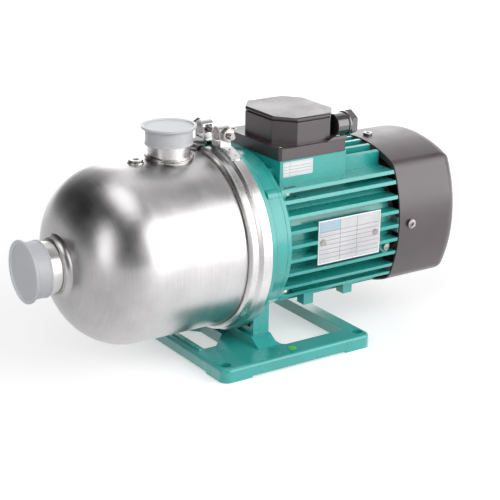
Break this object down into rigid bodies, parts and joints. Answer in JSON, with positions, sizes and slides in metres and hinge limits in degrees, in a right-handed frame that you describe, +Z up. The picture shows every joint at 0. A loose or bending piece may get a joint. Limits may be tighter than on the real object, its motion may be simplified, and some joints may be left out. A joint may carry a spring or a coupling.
{
  "type": "horizontal multistage water pump",
  "caption": "Horizontal stainless steel multistage water pump with finned electric motor, clamp band, capped ports, terminal box, fan cover and green base plate.",
  "frame": {"origin": "centre of the base plate's four bolt holes, on the floor under the base plate", "axes": "+X along the shaft from the suction port to the fan, +Y across the pump to the side away from the nameplate, +Z up towards the discharge port"},
  "size_m": [0.3679, 0.158, 0.1845],
  "materials": {
    "barrel_steel": "satin",
    "inner_steel": "satin",
    "bright_steel": "polished",
    "plated_screw": "polished",
    "cap_white": "translucent satin",
    "green_casting": "gloss paint",
    "green_alloy": "gloss paint over a die casting",
    "black_plastic": "satin",
    "fan_plastic": "satin",
    "black_rubber": "matt",
    "silver_plate": "satin",
    "bare_alloy": "as cast",
    "lamination": "dull",
    "copper_wire": "lacquered",
    "ceramic": "satin",
    "carbon": "satin",
    "bearing_steel": "polished"
  },
  "bodies": {
    "frame": {"pump_barrel": "barrel_steel", "suction_socket": "bright_steel", "discharge_socket": "bright_steel", "clamp_band": "bright_steel", "clamp_trunnions": "plated_screw", "clamp_bolt": "plated_screw", "clamp_nut": "plated_screw", "casing_seal": "black_rubber", "seal_cover": "inner_steel", "inlet_plate": "inner_steel", "stage_1": "inner_steel", "stage_2": "inner_steel", "stage_3": "inner_steel", "stage_4": "inner_steel", "pack_support": "inner_steel", "wear_rings": "ceramic", "seal_seat": "ceramic", "lantern": "green_casting", "motor_housing": "green_alloy", "flange_screws": "plated_screw", "stator_core": "lamination", "stator_windings": "copper_wire", "front_bearing_outer": "bearing_steel", "rear_bearing_outer": "bearing_steel", "wave_washer": "plated_screw", "rear_end_shield": "bare_alloy", "fan_cover": "black_plastic", "fan_cover_screws": "plated_screw", "nameplate": "silver_plate", "nameplate_rivets": "plated_screw", "earth_screw": "plated_screw", "terminal_box_base": "black_plastic", "terminal_box_lid": "black_plastic", "box_screws": "plated_screw", "terminal_block": "ceramic", "capacitor": "bare_alloy", "cable_gland": "black_plastic", "gland_nut": "black_plastic", "base_plate": "green_casting", "foot_bolts": "plated_screw"},
    "rotor": {"shaft": "bright_steel", "impeller_1": "inner_steel", "impeller_2": "inner_steel", "impeller_3": "inner_steel", "impeller_4": "inner_steel", "impeller_nut": "inner_steel", "seal_ring": "carbon", "seal_bellows": "black_rubber", "rotor_core": "lamination", "rotor_cage": "bare_alloy", "front_bearing_inner": "bearing_steel", "rear_bearing_inner": "bearing_steel", "cooling_fan": "fan_plastic"},
    "ball_sets": {"front_ball_cage": "bearing_steel", "rear_ball_cage": "bearing_steel"},
    "suction_cap_body": {"suction_cap": "cap_white"},
    "discharge_cap_body": {"discharge_cap": "cap_white"},
    "vent_plug_body": {"vent_plug": "plated_screw"},
    "drain_plug_body": {"drain_plug": "plated_screw"}
  },
  "joints": [
    {"name": "rotor_spin", "type": "hinge", "parent": "frame", "child": "rotor", "pos_m": [0, 0, 0.09], "axis": [1, 0, 0], "continuous": true},
    {"name": "ball_spin", "type": "hinge", "parent": "frame", "child": "ball_sets", "pos_m": [0, 0, 0.09], "axis": [1, 0, 0], "continuous": true},
    {"name": "suction_cap_pull", "type": "slide", "parent": "frame", "child": "suction_cap_body", "axis": [-1, 0, 0], "range_m": [0, 0.09]},
    {"name": "discharge_cap_pull", "type": "slide", "parent": "frame", "child": "discharge_cap_body", "axis": [0, 0, 1], "range_m": [0, 0.09]},
    {"name": "vent_plug_out", "type": "slide", "parent": "frame", "child": "vent_plug_body", "axis": [0, 0, 1], "range_m": [0, 0.014]},
    {"name": "drain_plug_out", "type": "slide", "parent": "frame", "child": "drain_plug_body", "axis": [0, 0, -1], "range_m": [0, 0.012]}
  ],
  "couplings": [
    {"joint": "ball_spin", "follows": "rotor_spin", "ratio": 0.381}
  ]
}
